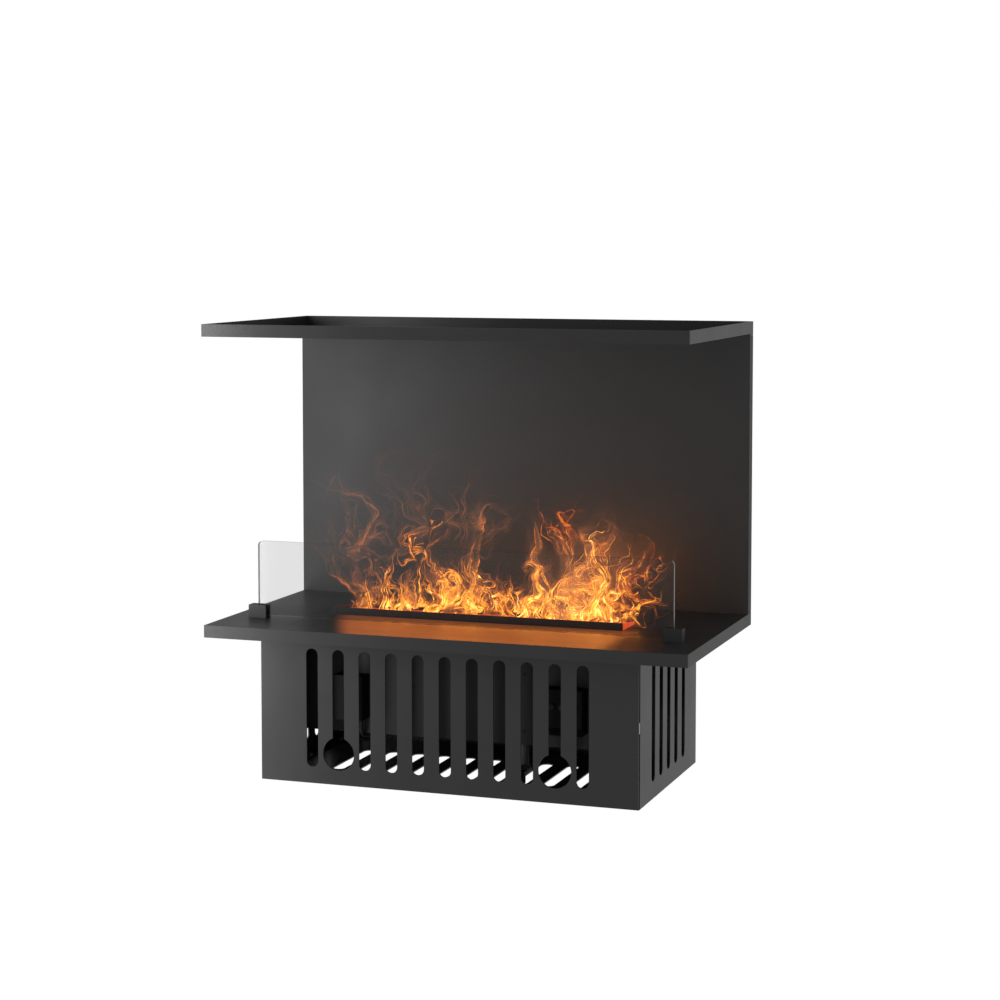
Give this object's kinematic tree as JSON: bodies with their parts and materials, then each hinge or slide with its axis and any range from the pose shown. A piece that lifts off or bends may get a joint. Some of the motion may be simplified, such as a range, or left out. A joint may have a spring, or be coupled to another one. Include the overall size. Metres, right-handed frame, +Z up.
{
  "type": "electric fireplace",
  "caption": "Three-sided water-vapour fireplace insert: slotted base housing, shelf with glass screen and mist burner, back panel and top tray.",
  "frame": {"origin": "middle of the footprint of the shelf and top tray, on the floor that the base stands on", "axes": "+X to the right along the width, +Y towards the wall behind, +Z up; the glass and the front panel face -Y"},
  "size_m": [0.8, 0.412, 0.734],
  "materials": {
    "black_steel": "matt anthracite powder coat, fine grain",
    "black_steel_inner": "matt black powder coat",
    "zinc": "bright zinc plate",
    "soft_strip": "matt black rubber",
    "glass": "clear toughened glass, ground edges",
    "holder_black": "satin black paint",
    "black_plastic": "fine textured black plastic",
    "grey_plastic": "moulded grey plastic",
    "brass": "satin brass",
    "circuit_board": "green circuit board",
    "light_board": "white circuit strip",
    "light_lens": "clear lens lit orange",
    "lit_end": "translucent lens lit red-orange",
    "gloss_black": "polished black plastic",
    "button_dark": "moulded dark grey plastic",
    "float_white": "moulded white plastic",
    "lamp_green": "translucent green lens, unlit"
  },
  "bodies": {
    "root": {"floor_plate": "black_steel", "side_panel_left": "black_steel", "side_panel_right": "black_steel", "rear_panel": "black_steel", "corner_strips": "soft_strip", "magnet_catches": "zinc", "housing_screws": "zinc", "shelf_plate": "black_steel", "shelf_nuts": "zinc", "back_panel": "black_steel", "back_panel_screws": "zinc", "top_tray": "black_steel", "glass_holder_left": "holder_black", "glass_holder_right": "holder_black", "holder_pads": "soft_strip", "holder_screws": "zinc", "burner_support_frame": "black_steel_inner", "burner_top_plate": "black_steel", "burner_casing": "black_steel_inner", "burner_nuts": "zinc", "casing_screws": "black_steel_inner", "water_basin": "grey_plastic", "disc_housings": "black_plastic", "mist_discs": "brass", "mouth_channel": "black_steel_inner", "light_bar_front": "light_board", "light_bar_rear": "light_board", "light_lens_front": "light_lens", "light_lens_rear": "light_lens", "mouth_end_left": "lit_end", "mouth_end_right": "lit_end", "float_stem": "black_plastic", "fan_frame_left": "black_plastic", "fan_frame_right": "black_plastic", "drain_valve": "grey_plastic", "supply_case": "black_plastic", "supply_cover": "black_plastic", "supply_board": "circuit_board", "rocker_frame": "black_plastic", "control_case": "black_plastic", "control_cover": "black_plastic", "receiver_window": "gloss_black", "control_board": "circuit_board", "status_lamp": "lamp_green", "mains_inlet": "black_plastic", "inlet_pins": "zinc", "wiring": "black_plastic"},
    "front_cover": {"front_panel": "black_steel"},
    "glass_screen": {"glass_pane": "glass"},
    "fan_left": {"fan_rotor_left": "black_plastic"},
    "fan_right": {"fan_rotor_right": "black_plastic"},
    "float": {"float_ring": "float_white"},
    "drain_tap": {"drain_knob": "black_plastic"},
    "rocker_key": {"rocker": "gloss_black"},
    "power_key": {"power_button": "button_dark"},
    "flame_key": {"flame_button": "button_dark"},
    "light_key": {"light_button": "button_dark"}
  },
  "joints": [
    {"name": "front_panel_pull", "type": "slide", "parent": "root", "child": "front_cover", "axis": [0, -1, 0], "range_m": [0, 0.15]},
    {"name": "glass_lift", "type": "slide", "parent": "root", "child": "glass_screen", "axis": [0, 0, 1], "range_m": [0, 0.14]},
    {"name": "fan_left_spin", "type": "hinge", "parent": "root", "child": "fan_left", "pos_m": [-0.2545, 0, 0.18], "axis": [1, 0, 0], "continuous": true},
    {"name": "fan_right_spin", "type": "hinge", "parent": "root", "child": "fan_right", "pos_m": [0.2545, 0, 0.18], "axis": [1, 0, 0], "continuous": true},
    {"name": "float_rise", "type": "slide", "parent": "root", "child": "float", "axis": [0, 0, 1], "range_m": [0, 0.02]},
    {"name": "drain_turn", "type": "hinge", "parent": "root", "child": "drain_tap", "pos_m": [0.106, -0.128, 0.032], "axis": [0, 1, 0], "range_deg": [0, 90]},
    {"name": "rocker_tip", "type": "hinge", "parent": "root", "child": "rocker_key", "pos_m": [-0.1808, -0.132, 0.12], "axis": [1, 0, 0], "range_deg": [-16, 0]},
    {"name": "power_press", "type": "slide", "parent": "root", "child": "power_key", "axis": [0, 1, 0], "range_m": [0, 0.0012], "stiffness_N_per_m": 800},
    {"name": "flame_press", "type": "slide", "parent": "root", "child": "flame_key", "axis": [0, 1, 0], "range_m": [0, 0.0012], "stiffness_N_per_m": 800},
    {"name": "light_press", "type": "slide", "parent": "root", "child": "light_key", "axis": [0, 1, 0], "range_m": [0, 0.0012], "stiffness_N_per_m": 800}
  ]
}
